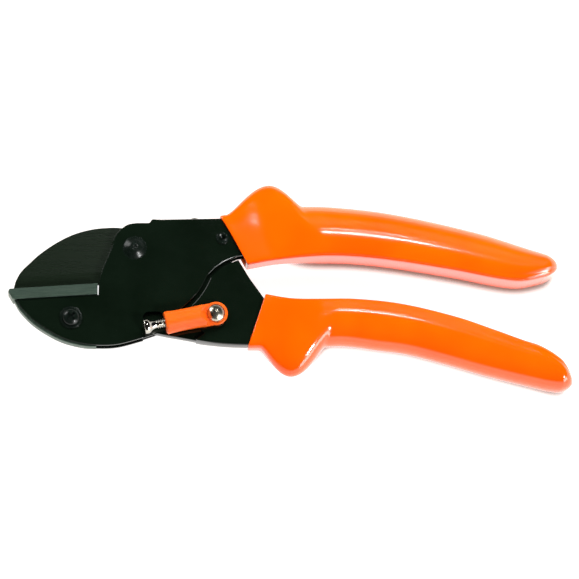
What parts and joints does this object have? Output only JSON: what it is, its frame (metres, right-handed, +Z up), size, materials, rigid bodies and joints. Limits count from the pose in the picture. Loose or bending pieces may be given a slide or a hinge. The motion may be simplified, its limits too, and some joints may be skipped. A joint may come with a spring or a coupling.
{
  "type": "pruning shears",
  "caption": "Hand pruning shears of the anvil type, with a curved blade, pressed steel channel handles in moulded grips, a return spring and a swinging latch, closed.",
  "frame": {"origin": "bottom centre of the closed shears' bounding box, lying on one side", "axes": "+X from the jaws to the handle ends, +Y from the lower handle to the blade's back, +Z up, out of the front plate"},
  "size_m": [0.205, 0.077, 0.0183],
  "materials": {
    "black_paint": "gloss black enamel with a green cast",
    "blade_coating": "smooth low-friction coating, semi-matte",
    "anvil_metal": "brushed grey-green",
    "black_screw": "blackened, satin",
    "zinc_steel": "zinc plated",
    "chrome": "polished",
    "orange_pvc": "glossy PVC",
    "orange_lever": "moulded, satin"
  },
  "bodies": {
    "anvil_side": {"body_frame": "black_paint", "anvil": "anvil_metal", "anvil_screw": "black_screw", "anvil_washer": "black_screw", "anvil_nut": "black_screw", "pivot_bolt": "black_screw", "pivot_bush": "zinc_steel", "pivot_shim_front": "zinc_steel", "pivot_shim_rear": "zinc_steel", "pivot_washer": "black_screw", "pivot_nut": "black_screw", "spacer_rivet": "black_screw", "spring_post": "zinc_steel", "return_spring": "zinc_steel", "upper_grip": "orange_pvc"},
    "blade_side": {"blade": "blade_coating", "lower_handle": "black_paint", "blade_rivet_upper": "zinc_steel", "blade_rivet_lower": "zinc_steel", "spring_cup": "zinc_steel", "latch_rivet": "chrome", "latch_washer": "zinc_steel", "lower_grip": "orange_pvc"},
    "latch": {"latch_body": "orange_lever", "latch_insert": "zinc_steel"},
    "latch_screw": {"latch_screw": "chrome"}
  },
  "joints": [
    {"name": "main_pivot", "type": "hinge", "parent": "anvil_side", "child": "blade_side", "pos_m": [-0.0567, 0.01457, 0.0087], "axis": [0, 0, -1], "range_deg": [0, 32], "deforming": ["return_spring"]},
    {"name": "latch_swing", "type": "hinge", "parent": "blade_side", "child": "latch", "pos_m": [-0.0274, -0.01023, 0.0136], "axis": [0, 0, 1], "range_deg": [0, 95]},
    {"name": "latch_screw_turn", "type": "hinge", "parent": "latch", "child": "latch_screw", "pos_m": [-0.04211, -0.01317, 0.0152], "axis": [-0.9806, -0.1959, 0], "continuous": true}
  ]
}
